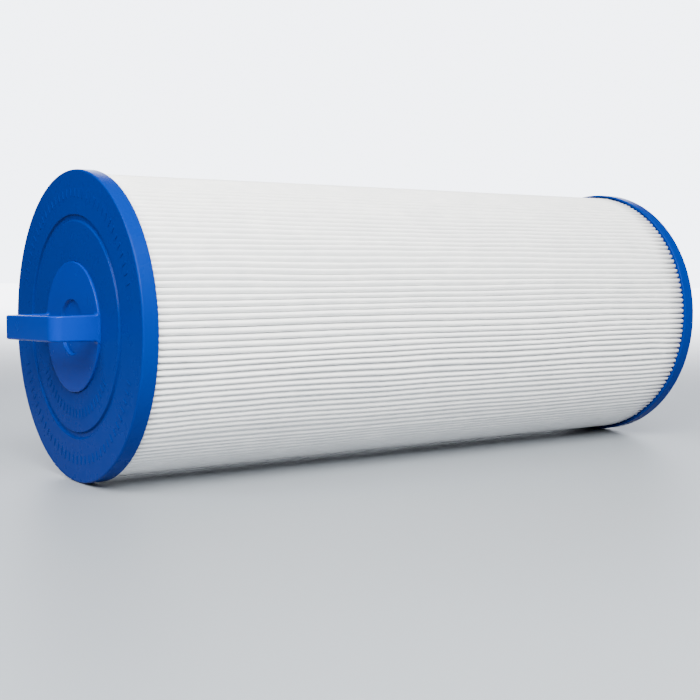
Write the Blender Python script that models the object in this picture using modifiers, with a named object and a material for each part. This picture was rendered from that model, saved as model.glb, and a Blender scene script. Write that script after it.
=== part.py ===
"""Spa filter cartridge: a pleated media pack on a perforated core between two moulded end caps.

The cartridge lies on its side on its two cap rims. World X is its axis: the loop handle is at -X
and the threaded nipple at +X. Z is up, and the origin is under the middle of the whole length.
Every piece is drawn round its own Z axis and parented to an empty that lays that axis along X,
so a station below is a distance along the cartridge and grows towards the nipple.
"""
import math

import bmesh
import bpy

MM = 0.001

# Overall sizes
CAP_RADIUS = 67.45 * MM
CARTRIDGE_LENGTH = 325.7 * MM  # cap face to cap face
HANDLE_HEIGHT = 21.1 * MM  # loop above the cap face
NIPPLE_LENGTH = 28.0 * MM  # thread end below the cap face
RIM_COVER = 0.6 * MM  # rim beyond the start of the pleats
RIM_WALL = 1.15 * MM

# End cap plates
LIP_THICKNESS = 1.6 * MM  # plate in front of the handle's or nipple's flange
FLANGE_THICKNESS = 1.7 * MM
CORNER_ROUND = 0.7 * MM
RIM_EDGE = 0.2 * MM  # small chamfer on the back of the rim
GROOVE_INNER = 45.4 * MM
GROOVE_OUTER = 48.4 * MM
GROOVE_DEPTH = 1.0 * MM
GROOVE_SLOPE = 0.6 * MM

# Handle insert
BOSS_RADIUS = 28.2 * MM
BOSS_RAISE = 1.0 * MM
DIMPLE_RADIUS = 12.1 * MM
DIMPLE_DEPTH = 1.3 * MM
HANDLE_FLANGE_OVERLAP = 5.8 * MM  # flange beyond the boss
FOOT_INSET = 0.3 * MM  # strap's outer side from the boss's edge
STRAP_THICKNESS = 3.5 * MM
STRAP_WIDTH = 11.0 * MM
HANDLE_TURN = 1.8  # degrees round the axis from lying level
STRAP_CORNER = 5.0 * MM  # outer side; the inner corner is square
STRAP_EDGE = 0.8 * MM  # chamfer along the strap's edges
STRAP_ARC_STEPS = 5
BEVEL_ANGLE = 60.0  # degrees; gentler edges stay as they are

# Media
SHEET_THICKNESS = 0.45 * MM
VALLEY_GAP = 0.16 * MM  # between the two sheets at the bottom of a valley
ROOT_GAP = 0.095 * MM  # between neighbouring folds on the core
POTTING_THICKNESS = 2.2 * MM
SEAM_DEPTH = 26.0 * MM

# Core
CORE_RADIUS = 26.5 * MM
CORE_WALL = 2.5 * MM
CORE_SECTIONS = 4
LAP_LENGTH = 6.0 * MM
WINDOW_ROWS = 3
WINDOWS_AROUND = 6
WINDOW_WIDTH = 15.0 * MM
WINDOW_RIB = 5.0 * MM  # between rows
WINDOW_MARGIN = 3.0 * MM  # cutter beyond each side of the wall
PLUG_THICKNESS = 2.0 * MM
PLUG_DEPTH = 9.0 * MM
PLUG_WALL = 2.0 * MM

# Threaded nipple
THREAD_RADIUS = 24.13 * MM
THREAD_PITCH = 2.209 * MM
THREAD_DEPTH = 1.4 * MM
THREAD_START = 3.0 * MM  # plain neck next to the cap
THREAD_CHAMFER = 1.6 * MM
FLANK_SHARE = 3 / 8  # of the pitch, each side of a thread's crest
LAND_SHARE = 1 / 8  # of the pitch, flat on the crest and half of the flat at the root
BLANK_TURNS = 1.5  # threaded blank beyond each end before it is cut
NECK_RELIEF = 0.1 * MM  # neck below the thread's root
NIPPLE_WALL = 3.23 * MM  # below the thread's root
NIPPLE_FLANGE_OVERLAP = 9.87 * MM  # flange beyond the thread
SPIGOT_WALL = 4.2 * MM
SPIGOT_DEPTH = 12.0 * MM

# Fits and fineness
FIT = 0.3 * MM  # clearance between neighbouring pieces
CAP_STEPS = 48
CORE_STEPS = 24
THREAD_STEPS = 24
CORNER_STEPS = 2
SMOOTH_ANGLE = 35.0  # degrees
CUT_MARGIN = 1.0 * MM
WELD = 0.02 * MM
SEAM_MERGE = 0.01 * MM

# Stations along the cartridge, in the order of assembly
TOP_FACE = HANDLE_HEIGHT - (HANDLE_HEIGHT + CARTRIDGE_LENGTH + NIPPLE_LENGTH) / 2
BOTTOM_FACE = TOP_FACE + CARTRIDGE_LENGTH
LIP_BACK = LIP_THICKNESS
FLANGE_FRONT = LIP_BACK + FIT
PLATE_THICKNESS = FLANGE_FRONT + FLANGE_THICKNESS
POTTING_FRONT = PLATE_THICKNESS + FIT
POTTING_BACK = POTTING_FRONT + POTTING_THICKNESS
MEDIA_START = POTTING_BACK + FIT
RIM_HEIGHT = MEDIA_START + RIM_COVER

# Radii that follow from the sizes above
RIM_INNER = CAP_RADIUS - RIM_WALL
PLEAT_OUTER = RIM_INNER - FIT
CORE_INNER = CORE_RADIUS - CORE_WALL
PLEAT_INNER = CORE_RADIUS + 2 * FIT
ROOT_WIDTH = 2 * SHEET_THICKNESS + VALLEY_GAP
PLEAT_COUNT = int(2 * math.pi * PLEAT_INNER / (ROOT_WIDTH + ROOT_GAP))
POTTING_OUTER = RIM_INNER - FIT
POTTING_HOLE = CORE_RADIUS + FIT
HANDLE_SPAN = 2 * (BOSS_RADIUS - FOOT_INSET)  # outside to outside
HANDLE_FLANGE_RADIUS = BOSS_RADIUS + HANDLE_FLANGE_OVERLAP
THREAD_ROOT = THREAD_RADIUS - THREAD_DEPTH
NIPPLE_BORE = THREAD_ROOT - NIPPLE_WALL
NIPPLE_FLANGE_RADIUS = THREAD_RADIUS + NIPPLE_FLANGE_OVERLAP
SPIGOT_RADIUS = CORE_INNER - FIT
SPIGOT_BORE = SPIGOT_RADIUS - SPIGOT_WALL

COLOURS = {
    "cap_blue": ((0.0, 0.053, 0.262, 1.0), 0.28),
    "handle_blue": ((0.0, 0.070, 0.320, 1.0), 0.25),
    "resin": ((0.02, 0.09, 0.30, 1.0), 0.35),
    "media": ((0.80, 0.81, 0.82, 1.0), 0.9),
    "seam_glue": ((0.78, 0.77, 0.72, 1.0), 0.5),
    "core_white": ((0.76, 0.77, 0.78, 1.0), 0.45),
}


def clear_scene():
    for item in list(bpy.data.objects):
        bpy.data.objects.remove(item, do_unlink=True)
    for group in list(bpy.data.collections):
        bpy.data.collections.remove(group)


def new_collection(name):
    group = bpy.data.collections.new(name)
    bpy.context.scene.collection.children.link(group)
    return group


def material(name):
    colour, roughness = COLOURS[name]
    finish = bpy.data.materials.get(name) or bpy.data.materials.new(name)
    finish.use_nodes = True
    shader = finish.node_tree.nodes["Principled BSDF"]
    shader.inputs["Base Color"].default_value = colour
    shader.inputs["Roughness"].default_value = roughness
    shader.inputs["Metallic"].default_value = 0.0
    return finish


def add_part(name, mesh, finish):
    part = bpy.data.objects.new(name, mesh)
    parts.objects.link(part)
    part.parent = axis
    part.data.materials.append(material(finish))
    return part


def add_cutter(name, mesh):
    cutter = bpy.data.objects.new(name, mesh)
    cutters.objects.link(cutter)
    cutter.parent = axis
    cutter.hide_render = True
    cutter.display_type = "WIRE"
    return cutter


def profile_mesh(name, points, closed=True):
    """Radius and station pairs, listed down the outer side from the top."""
    mesh = bpy.data.meshes.new(name)
    edges = [(i, i + 1) for i in range(len(points) - 1)]
    if closed:
        edges.append((len(points) - 1, 0))
    mesh.from_pydata([(radius, 0.0, station) for radius, station in points], edges, [])
    return mesh


def turn(item, steps, rise=0.0, turns=1):
    """A Screw modifier that turns the profile round the cartridge's axis."""
    screw = item.modifiers.new("turned", "SCREW")
    screw.axis = "Z"
    screw.steps = steps
    screw.render_steps = steps
    screw.screw_offset = rise
    screw.iterations = turns
    screw.use_merge_vertices = rise == 0.0
    screw.merge_threshold = SEAM_MERGE
    return screw


def boolean(item, cutter, operation):
    change = item.modifiers.new(cutter.name, "BOOLEAN")
    change.operation = operation
    change.solver = "EXACT"
    change.object = cutter
    return change


def evaluated_mesh(item):
    """The mesh of a curve or of an object with modifiers, with loose seams welded."""
    bpy.context.view_layer.update()
    graph = bpy.context.evaluated_depsgraph_get()
    mesh = bpy.data.meshes.new_from_object(item.evaluated_get(graph))
    shape = bmesh.new()
    shape.from_mesh(mesh)
    bmesh.ops.remove_doubles(shape, verts=shape.verts, dist=SEAM_MERGE)
    shape.to_mesh(mesh)
    shape.free()
    return mesh


def shade(item):
    item.data.shade_smooth()
    item.data.set_sharp_from_angle(angle=math.radians(SMOOTH_ANGLE))


def flat_outline(name, rings, thickness):
    """A closed solid from flat outlines, its thickness centred on the outlines' plane."""
    curve = bpy.data.curves.new(name, "CURVE")
    curve.dimensions = "2D"
    curve.fill_mode = "BOTH"
    curve.extrude = thickness / 2
    for ring in rings:
        spline = curve.splines.new("POLY")
        spline.points.add(len(ring) - 1)
        for point, (x, y) in zip(spline.points, ring):
            point.co = (x, y, 0.0, 1.0)
        spline.use_cyclic_u = True
    source = bpy.data.objects.new(name + "_outline", curve)
    cutters.objects.link(source)
    mesh = evaluated_mesh(source)
    bpy.data.objects.remove(source, do_unlink=True)
    return mesh


def cap_skirt():
    """The rim shared by both caps, as radius and depth from the cap's face, back to face."""
    outline = [
        (RIM_INNER, RIM_HEIGHT),
        (CAP_RADIUS - RIM_EDGE, RIM_HEIGHT),
        (CAP_RADIUS, RIM_HEIGHT - RIM_EDGE),
    ]
    for step in range(CORNER_STEPS + 1):
        angle = math.pi / 2 * step / CORNER_STEPS
        outline.append((
            CAP_RADIUS - CORNER_ROUND * (1 - math.cos(angle)),
            CORNER_ROUND * (1 - math.sin(angle)),
        ))
    return outline


def make_top_cap():
    opening = BOSS_RADIUS + FIT
    recess = HANDLE_FLANGE_RADIUS + FIT
    depths = cap_skirt()
    depths += [
        (GROOVE_OUTER, 0.0),
        (GROOVE_OUTER - GROOVE_SLOPE, GROOVE_DEPTH),
        (GROOVE_INNER + GROOVE_SLOPE, GROOVE_DEPTH),
        (GROOVE_INNER, 0.0),
        (opening, 0.0),
        (opening, LIP_BACK),
        (recess, LIP_BACK),
        (recess, PLATE_THICKNESS),
        (RIM_INNER, PLATE_THICKNESS),
    ]
    points = [(radius, TOP_FACE + depth) for radius, depth in depths]
    part = add_part("top_cap", profile_mesh("top_cap", points), "cap_blue")
    turn(part, CAP_STEPS)
    return part


def make_bottom_cap():
    opening = THREAD_RADIUS + FIT
    recess = NIPPLE_FLANGE_RADIUS + FIT
    depths = cap_skirt()
    depths += [
        (opening, 0.0),
        (opening, LIP_BACK),
        (recess, LIP_BACK),
        (recess, PLATE_THICKNESS),
        (RIM_INNER, PLATE_THICKNESS),
    ]
    points = [(radius, BOTTOM_FACE - depth) for radius, depth in reversed(depths)]
    part = add_part("bottom_cap", profile_mesh("bottom_cap", points), "cap_blue")
    turn(part, CAP_STEPS)
    return part


def strap_outline():
    """The handle's outline in its own plane: across the cap, then out along the axis."""
    half = HANDLE_SPAN / 2
    root = DIMPLE_DEPTH
    inner_half = half - STRAP_THICKNESS
    outer = [(half, root)]
    for step in range(STRAP_ARC_STEPS + 1):
        angle = math.pi / 2 * step / STRAP_ARC_STEPS
        outer.append((
            half - STRAP_CORNER * (1 - math.cos(angle)),
            -HANDLE_HEIGHT + STRAP_CORNER * (1 - math.sin(angle)),
        ))
    outside = outer + [(-x, y) for x, y in reversed(outer)]
    under = STRAP_THICKNESS - HANDLE_HEIGHT
    inside = [(-inner_half, root), (-inner_half, under), (inner_half, under), (inner_half, root)]
    return outside + inside


def make_handle():
    mesh = flat_outline("handle_strap", [strap_outline()], STRAP_WIDTH)
    shape = bmesh.new()
    shape.from_mesh(mesh)
    for vertex in shape.verts:
        across, out, up = vertex.co
        vertex.co = (up, across, TOP_FACE + out)
    bmesh.ops.recalc_face_normals(shape, faces=shape.faces)
    shape.to_mesh(mesh)
    shape.free()
    strap = add_cutter("handle_strap", mesh)
    strap.rotation_euler.z = -math.radians(HANDLE_TURN)
    bevel = strap.modifiers.new("soft_edges", "BEVEL")
    bevel.width = STRAP_EDGE
    bevel.segments = 1
    bevel.limit_method = "ANGLE"
    bevel.angle_limit = math.radians(BEVEL_ANGLE)
    depths = [
        (0.0, PLATE_THICKNESS),
        (HANDLE_FLANGE_RADIUS, PLATE_THICKNESS),
        (HANDLE_FLANGE_RADIUS, FLANGE_FRONT),
        (BOSS_RADIUS, FLANGE_FRONT),
        (BOSS_RADIUS, CORNER_ROUND - BOSS_RAISE),
        (BOSS_RADIUS - CORNER_ROUND, -BOSS_RAISE),
        (DIMPLE_RADIUS, -BOSS_RAISE),
        (DIMPLE_RADIUS - GROOVE_SLOPE, DIMPLE_DEPTH - BOSS_RAISE),
        (0.0, DIMPLE_DEPTH - BOSS_RAISE),
    ]
    points = [(radius, TOP_FACE + depth) for radius, depth in depths]
    part = add_part("handle", profile_mesh("handle", points, closed=False), "handle_blue")
    turn(part, CAP_STEPS)
    boolean(part, strap, "UNION")
    return part


def make_ring(name, outer, inner, top, bottom, steps, finish):
    points = [(outer, top), (outer, bottom), (inner, bottom), (inner, top)]
    part = add_part(name, profile_mesh(name, points), finish)
    turn(part, steps)
    return part


def make_core_plug():
    under = TOP_FACE + POTTING_BACK
    shelf = under - PLUG_THICKNESS
    outside = CORE_INNER - FIT
    inside = outside - PLUG_WALL
    points = [
        (0.0, under),
        (inside, under),
        (inside, under + PLUG_DEPTH),
        (outside, under + PLUG_DEPTH),
        (outside, under),
        (CORE_RADIUS, under),
        (CORE_RADIUS, shelf),
        (0.0, shelf),
    ]
    part = add_part("core_plug", profile_mesh("core_plug", points, closed=False), "core_white")
    turn(part, CORE_STEPS)
    return part


def window_cutter(name, low, high):
    """Boxes that cut one section's rows of windows out of the core's wall."""
    shape = bmesh.new()
    row_pitch = (high - low + WINDOW_RIB) / WINDOW_ROWS
    tall = row_pitch - WINDOW_RIB
    for row in range(WINDOW_ROWS):
        middle = low + row * row_pitch + tall / 2
        for number in range(WINDOWS_AROUND):
            box = bmesh.ops.create_cube(shape, size=1.0)["verts"]
            for vertex in box:
                x, y, z = vertex.co
                radius = CORE_RADIUS - CORE_WALL / 2 + x * (CORE_WALL + 2 * WINDOW_MARGIN)
                vertex.co = (radius, y * WINDOW_WIDTH, middle + z * tall)
            angle = 2 * math.pi * (number + 0.5) / WINDOWS_AROUND
            turned = [(math.cos(angle) * v.co.x - math.sin(angle) * v.co.y,
                       math.sin(angle) * v.co.x + math.cos(angle) * v.co.y,
                       v.co.z) for v in box]
            for vertex, place in zip(box, turned):
                vertex.co = place
    mesh = bpy.data.meshes.new(name)
    shape.to_mesh(mesh)
    shape.free()
    return add_cutter(name, mesh)


def make_core():
    """Equal sections that plug into each other with a half-lap joint, spigot up, socket down."""
    top = TOP_FACE + MEDIA_START
    bottom = BOTTOM_FACE - POTTING_FRONT
    pitch = (bottom - top) / CORE_SECTIONS
    lap_inner = CORE_INNER + (CORE_WALL - FIT) / 2
    for number in range(CORE_SECTIONS):
        start = top + number * pitch
        end = start + pitch
        first = number == 0
        last = number == CORE_SECTIONS - 1
        points = []
        if last:
            points += [(CORE_INNER, end), (CORE_RADIUS, end)]
        else:
            points += [(CORE_INNER, end + LAP_LENGTH - FIT), (lap_inner, end + LAP_LENGTH - FIT)]
            points += [(lap_inner, end - FIT), (CORE_RADIUS, end - FIT)]
        if first:
            points += [(CORE_RADIUS, start), (CORE_INNER, start)]
        else:
            points += [(CORE_RADIUS, start), (lap_inner + FIT, start)]
            points += [(lap_inner + FIT, start + LAP_LENGTH), (CORE_INNER, start + LAP_LENGTH)]
        name = f"core_section_{number + 1}"
        part = add_part(name, profile_mesh(name, points), "core_white")
        turn(part, CORE_STEPS)
        low = start + LAP_LENGTH + WINDOW_RIB
        high = end - FIT - WINDOW_RIB
        boolean(part, window_cutter(name + "_windows", low, high), "DIFFERENCE")


def pleat_skins():
    """The folded sheet's outer and inner skins: sharp inside each fold, flat outside it."""
    outer_skin = []
    inner_skin = []
    for number in range(PLEAT_COUNT):
        crest = 2 * math.pi * number / PLEAT_COUNT
        valley = crest + math.pi / PLEAT_COUNT
        for side in (-1.0, 1.0):
            angle = crest + side * SHEET_THICKNESS / PLEAT_OUTER
            outer_skin.append((PLEAT_OUTER * math.cos(angle), PLEAT_OUTER * math.sin(angle)))
        bottom = PLEAT_INNER + SHEET_THICKNESS
        outer_skin.append((bottom * math.cos(valley), bottom * math.sin(valley)))
        top = PLEAT_OUTER - SHEET_THICKNESS
        inner_skin.append((top * math.cos(crest), top * math.sin(crest)))
        for side in (-1.0, 1.0):
            angle = valley + side * ROOT_WIDTH / 2 / PLEAT_INNER
            inner_skin.append((PLEAT_INNER * math.cos(angle), PLEAT_INNER * math.sin(angle)))
    return outer_skin, inner_skin


def make_pleat_pack():
    start = TOP_FACE + MEDIA_START
    end = BOTTOM_FACE - MEDIA_START
    mesh = flat_outline("pleat_pack", pleat_skins(), end - start)
    part = add_part("pleat_pack", mesh, "media")
    part.location.z = (start + end) / 2
    return part


def make_seam_bead():
    """A bead of glue run down one valley, where the folded sheet's two ends meet."""
    start = TOP_FACE + MEDIA_START
    end = BOTTOM_FACE - MEDIA_START
    valley = math.pi / PLEAT_COUNT
    outer = PLEAT_OUTER - FIT
    inner = outer - SEAM_DEPTH
    outline = []
    for radius, side in ((outer, -1), (outer, 1), (inner, 1), (inner, -1)):
        share = (radius - PLEAT_INNER) / (PLEAT_OUTER - PLEAT_INNER)
        half_gap = share * (valley * PLEAT_OUTER - SHEET_THICKNESS)
        across = side * half_gap / 2
        outline.append((
            radius * math.cos(valley) - across * math.sin(valley),
            radius * math.sin(valley) + across * math.cos(valley),
        ))
    mesh = flat_outline("seam_bead", [outline], end - start)
    part = add_part("seam_bead", mesh, "seam_glue")
    part.location.z = (start + end) / 2
    return part


def make_nipple():
    """A bored nipple: a helical male thread, a flange behind the cap's lip, a core spigot."""
    thread_end = BOTTOM_FACE + NIPPLE_LENGTH
    thread_low = BOTTOM_FACE + THREAD_START
    flank = THREAD_PITCH * FLANK_SHARE
    land = THREAD_PITCH * LAND_SHARE
    turns = math.ceil((thread_end - thread_low) / THREAD_PITCH + 2 * BLANK_TURNS)
    low = thread_low - BLANK_TURNS * THREAD_PITCH
    wave = [
        (THREAD_ROOT, low),
        (THREAD_ROOT, low + land),
        (THREAD_RADIUS, low + land + flank),
        (THREAD_RADIUS, low + 2 * land + flank),
        (THREAD_ROOT, low + THREAD_PITCH),
    ]
    blank = add_cutter("thread_blank", profile_mesh("thread_blank", wave, closed=False))
    turn(blank, THREAD_STEPS, rise=THREAD_PITCH, turns=turns)
    mesh = evaluated_mesh(blank)
    bpy.data.objects.remove(blank, do_unlink=True)
    shape = bmesh.new()
    shape.from_mesh(mesh)
    for station, clear_above in ((thread_end, True), (thread_low, False)):
        bmesh.ops.bisect_plane(
            shape,
            geom=shape.verts[:] + shape.edges[:] + shape.faces[:],
            plane_co=(0.0, 0.0, station),
            plane_no=(0.0, 0.0, 1.0),
            clear_outer=clear_above,
            clear_inner=not clear_above,
        )
        bmesh.ops.remove_doubles(shape, verts=shape.verts, dist=WELD)
        rim = [edge for edge in shape.edges if edge.is_boundary
               and all(abs(v.co.z - station) < SEAM_MERGE for v in edge.verts)]
        bmesh.ops.edgeloop_fill(shape, edges=rim)
    bmesh.ops.recalc_face_normals(shape, faces=shape.faces)
    shape.to_mesh(mesh)
    shape.free()
    thread = add_cutter("nipple_thread", mesh)

    reach = THREAD_RADIUS + THREAD_CHAMFER
    tip = THREAD_RADIUS - THREAD_CHAMFER
    points = [
        (tip, thread_end + CUT_MARGIN),
        (reach, thread_end + CUT_MARGIN),
        (reach, thread_end - (reach - tip)),
        (tip, thread_end),
    ]
    chamfer = add_cutter("thread_chamfer", profile_mesh("thread_chamfer", points))
    turn(chamfer, CAP_STEPS)

    points = [
        (0.0, thread_end + CUT_MARGIN),
        (NIPPLE_BORE, thread_end + CUT_MARGIN),
        (NIPPLE_BORE, thread_low - 2 * CUT_MARGIN),
        (0.0, thread_low - 2 * CUT_MARGIN),
    ]
    bore = add_cutter("nipple_bore", profile_mesh("nipple_bore", points, closed=False))
    turn(bore, CAP_STEPS)

    neck = THREAD_ROOT - NECK_RELIEF
    flange_back = BOTTOM_FACE - PLATE_THICKNESS
    spigot_end = BOTTOM_FACE - POTTING_FRONT - SPIGOT_DEPTH
    points = [
        (neck, thread_low + CUT_MARGIN),
        (neck, BOTTOM_FACE - FLANGE_FRONT),
        (NIPPLE_FLANGE_RADIUS, BOTTOM_FACE - FLANGE_FRONT),
        (NIPPLE_FLANGE_RADIUS, flange_back),
        (SPIGOT_RADIUS, flange_back),
        (SPIGOT_RADIUS, spigot_end),
        (SPIGOT_BORE, spigot_end),
        (SPIGOT_BORE, flange_back),
        (NIPPLE_BORE, BOTTOM_FACE - FLANGE_FRONT),
        (NIPPLE_BORE, thread_low + CUT_MARGIN),
    ]
    part = add_part("threaded_nipple", profile_mesh("threaded_nipple", points), "core_white")
    turn(part, CAP_STEPS)
    boolean(part, thread, "UNION")
    boolean(part, chamfer, "DIFFERENCE")
    boolean(part, bore, "DIFFERENCE")
    return part


clear_scene()
parts = new_collection("spa_filter_cartridge")
cutters = new_collection("cutters")
axis = bpy.data.objects.new("cartridge_axis", None)
parts.objects.link(axis)
axis.location = (0.0, 0.0, CAP_RADIUS)
axis.rotation_euler = (0.0, math.radians(90.0), 0.0)

make_top_cap()
make_handle()
make_ring("top_potting", POTTING_OUTER, POTTING_HOLE, TOP_FACE + POTTING_BACK,
          TOP_FACE + POTTING_FRONT, CAP_STEPS, "resin")
make_core_plug()
make_core()
make_pleat_pack()
make_seam_bead()
make_ring("bottom_potting", POTTING_OUTER, POTTING_HOLE, BOTTOM_FACE - POTTING_FRONT,
          BOTTOM_FACE - POTTING_BACK, CAP_STEPS, "resin")
make_nipple()
make_bottom_cap()
for piece in parts.objects:
    if piece.type == "MESH":
        shade(piece)
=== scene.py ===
"""Looks of a spa filter cartridge: pleated polyester between two blue moulded end caps.

The cartridge lies along X on the rims of its caps, handle towards -X and nipple towards +X.
Turned pieces are drawn as outlines of radius and station (the distance along X), in metres.
"""
import math

import bmesh
import bpy
from mathutils import Matrix, Vector


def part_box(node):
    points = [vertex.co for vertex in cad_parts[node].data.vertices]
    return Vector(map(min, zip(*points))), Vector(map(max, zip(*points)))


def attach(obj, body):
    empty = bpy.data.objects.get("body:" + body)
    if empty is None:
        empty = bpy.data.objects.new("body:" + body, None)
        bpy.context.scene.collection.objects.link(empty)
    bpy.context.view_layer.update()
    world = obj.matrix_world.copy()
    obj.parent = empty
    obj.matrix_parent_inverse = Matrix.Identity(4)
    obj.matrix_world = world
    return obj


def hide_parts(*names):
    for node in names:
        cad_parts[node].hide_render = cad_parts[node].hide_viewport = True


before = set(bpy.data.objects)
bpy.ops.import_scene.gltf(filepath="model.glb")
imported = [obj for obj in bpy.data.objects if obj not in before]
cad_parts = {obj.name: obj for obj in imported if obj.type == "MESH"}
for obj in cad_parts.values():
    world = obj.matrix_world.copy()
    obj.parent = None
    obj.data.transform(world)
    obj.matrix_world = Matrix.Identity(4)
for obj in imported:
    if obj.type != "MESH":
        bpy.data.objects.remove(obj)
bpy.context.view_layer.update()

MM = 0.001

# Places taken from the frame
CAP_LOW, CAP_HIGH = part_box("top_cap")
HANDLE_LOW, HANDLE_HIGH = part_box("handle")
NIPPLE_LOW, NIPPLE_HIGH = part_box("threaded_nipple")
MEDIA_LOW, MEDIA_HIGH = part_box("pleat_pack")
CORE_LOW, CORE_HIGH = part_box("core_section_1")
TOP_FACE = CAP_LOW.x
BOTTOM_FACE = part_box("bottom_cap")[1].x
TOP_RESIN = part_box("top_potting")[1].x
BOTTOM_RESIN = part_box("bottom_potting")[0].x
CAP_RADIUS = (CAP_HIGH.z - CAP_LOW.z) / 2
AXIS_HEIGHT = (CAP_HIGH.z + CAP_LOW.z) / 2
RIM_HEIGHT = CAP_HIGH.x - CAP_LOW.x
MEDIA_RADIUS = (MEDIA_HIGH.z - MEDIA_LOW.z) / 2
CORE_RADIUS = (CORE_HIGH.z - CORE_LOW.z) / 2
FLANGE_RADIUS = (HANDLE_HIGH.z - HANDLE_LOW.z) / 2

# Cap details, as on the solids
LIP = 1.6 * MM
PLATE = 3.6 * MM
RIM_WALL = 1.15 * MM
GROOVE_INNER = 45.4 * MM
GROOVE_OUTER = 48.4 * MM
GROOVE_DEPTH = 1.0 * MM
BOSS_RADIUS = 28.2 * MM
BOSS_RAISE = 1.0 * MM
DIMPLE_RADIUS = 12.1 * MM
DIMPLE_DEPTH = 1.3 * MM
FIT = 0.3 * MM
BOSS_SLIT = 0.05 * MM
GROOVE_SLOPE = 0.55 * MM
DIMPLE_SLOPE = 0.7 * MM
FLANGE_RECESS = 34.3 * MM
NIPPLE_RELIEF = (4.0 * MM, 3.4 * MM, 0.5 * MM)
ON_AXIS = 0.001 * MM

# Plain raised marks in the cap's face, where such caps carry moulded text
MARK_LENGTH = 3.6 * MM
MARK_WIDTH = 0.9 * MM
MARK_HEIGHT = 0.36 * MM
OUTER_MARKS = 57.6 * MM
INNER_MARKS = 37.5 * MM

# Handle strap
HANDLE_SPAN = 55.8 * MM
STRAP_THICKNESS = 3.5 * MM
STRAP_FOOT_WIDTH = 11.2 * MM
STRAP_GRIP_WIDTH = 10.7 * MM
STRAP_CORNER = 5.0 * MM
STRAP_EDGE = 0.9 * MM
STRAP_FILLET = 1.0 * MM
STRAP_TAPER = 12.0 * MM
STRAP_LEG = (-1.8, 0.9, 1.0, 1.15, 1.4, 1.8, 2.4, 4.0)
STRAP_CORNER_STEPS = 12
STRAP_GRIP_STEPS = 6
HANDLE_TURN = 1.8

# Pleated sheet
PLEATS = 147
SHEET = 0.45 * MM
CREST_WIDTH = 1.8 * MM
NECK_WIDTH = 2.25 * MM
NECK_DEPTH = 1.5 * MM
SHOULDER_DEPTH = 2.3 * MM
SHOULDER_GAP = 0.1 * MM
ROOT_RADIUS = 0.29 * MM
MEDIA_INNER = CORE_RADIUS + 0.6 * MM
MEDIA_ROWS = 28
MEDIA_SET_IN = 0.4 * MM
CREST_STEPS = 4
SHEET_WELD = 0.01 * MM
# How far the sheet strays: neighbours together, crests on their own, and crests up and down
CROWDING = 5.0 * MM
SWAY = 1.6 * MM
LEAN = 0.12 * MM
HEIGHT_SPREAD = 0.5 * MM
SHEET_SEED = 4
# Crowding is about seven pleats to a patch, nearly the same along the whole length
CROWDING_GRAIN = (3.0, 3.4, 3.4)
# Sway is in waves of about 60 mm along
SWAY_GRAIN = (16.0, 2.6, 2.6)
HEIGHT_GRAIN = (7.0, 1.0, 1.0)
PLEAT_GRAIN = 0.37
ROOT_HOLD = 1.5
END_SLACK = 0.25
SEAM_SINK = 1.3 * MM
SEAM_RADIUS = 0.5 * MM
SEAM_SIDES = 12

# Nipple
THREAD_RADIUS = 24.13 * MM
THREAD_PITCH = 2.209 * MM
THREAD_DEPTH = 1.4 * MM
THREAD_START = 3.0 * MM
THREAD_STEPS = 72
THREAD_END_GAP = 1.0 * MM
THREAD_WELD = 0.002 * MM
THREAD_FADE = 0.035
# Six corners of the tooth as (share of the pitch across, share of the depth out)
TOOTH = ((-0.44, -0.35), (-0.42, 0.0), (-0.09, 1.0), (0.09, 1.0), (0.42, 0.0), (-0.44, -0.35))
NIPPLE_BORE = 19.5 * MM
NIPPLE_FLANGE = 34.0 * MM
NIPPLE_CHAMFER = (0.6 * MM, 0.8 * MM)
SPIGOT_RADIUS = 23.7 * MM

TURN_STEPS = 192
CORNER_STEPS = 5
SHARP_ANGLE = 50.0
STRAIGHT_ANGLE = 88.0
MERGE = 0.001 * MM

# Studio: the camera's place is in cap radii from the middle of the top cap's face
CAMERA_OFFSET = (-3.123, -7.430, 0.449)
CAMERA_ANGLES = (54.54, 4.25, 0.41)
CAMERA_LENS = 63.4
KEY_PLACE = (-0.26, -0.55, 0.60)
KEY_SIZE = (0.7, 0.6)
KEY_POWER = 29.0
CAP_LIGHT_PLACE = (-0.72, -0.02, 0.55)
CAP_LIGHT_SIZE = (0.3, 0.3)
CAP_LIGHT_POWER = 4.9
# Patches of the studio round the cartridge: the way they lie, and degrees to their edge and full part
BACKDROP_WAY = (0.58, 0.81, 0.0)
BACKDROP_SPREAD = (36.0, 21.0)
BACKDROP_LEVEL = 6.0
FLAG_WAY = (-0.47, 0.88, 0.0)
FLAG_SPREAD = (46.0, 24.0)
FLAG_LEVEL = 0.02
STUDIO_LEVEL = 0.28
FLOOR_RADIUS = 4.0
# The floor's wedge of painted light, an emission, opens away from this place in the backdrop's direction
PAINTED_GLOW_START = (TOP_FACE + CAMERA_OFFSET[0] * CAP_RADIUS, CAMERA_OFFSET[1] * CAP_RADIUS, 0.0)
PAINTED_GLOW_SPREAD = (30.0, 19.0)
PAINTED_GLOW_RISE = (0.9, 2.6)


# ---------------------------------------------------------------- nodes and materials

def linear(hex_colour):
    """An sRGB hex colour as linear RGBA."""
    values = [int(hex_colour[i:i + 2], 16) / 255 for i in (1, 3, 5)]
    return tuple(v / 12.92 if v <= 0.04045 else ((v + 0.055) / 1.055) ** 2.4 for v in values) + (1.0,)


def add_node(tree, kind, settings=None, inputs=None):
    """Adds a node. An input may be a value, another node's socket, or a node (its first output)."""
    item = tree.nodes.new(kind)
    for key, value in (settings or {}).items():
        setattr(item, key, value)
    for key, value in (inputs or {}).items():
        if isinstance(value, bpy.types.Node):
            tree.links.new(value.outputs[0], item.inputs[key])
        elif isinstance(value, bpy.types.NodeSocket):
            tree.links.new(value, item.inputs[key])
        else:
            item.inputs[key].default_value = value
    return item


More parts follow.
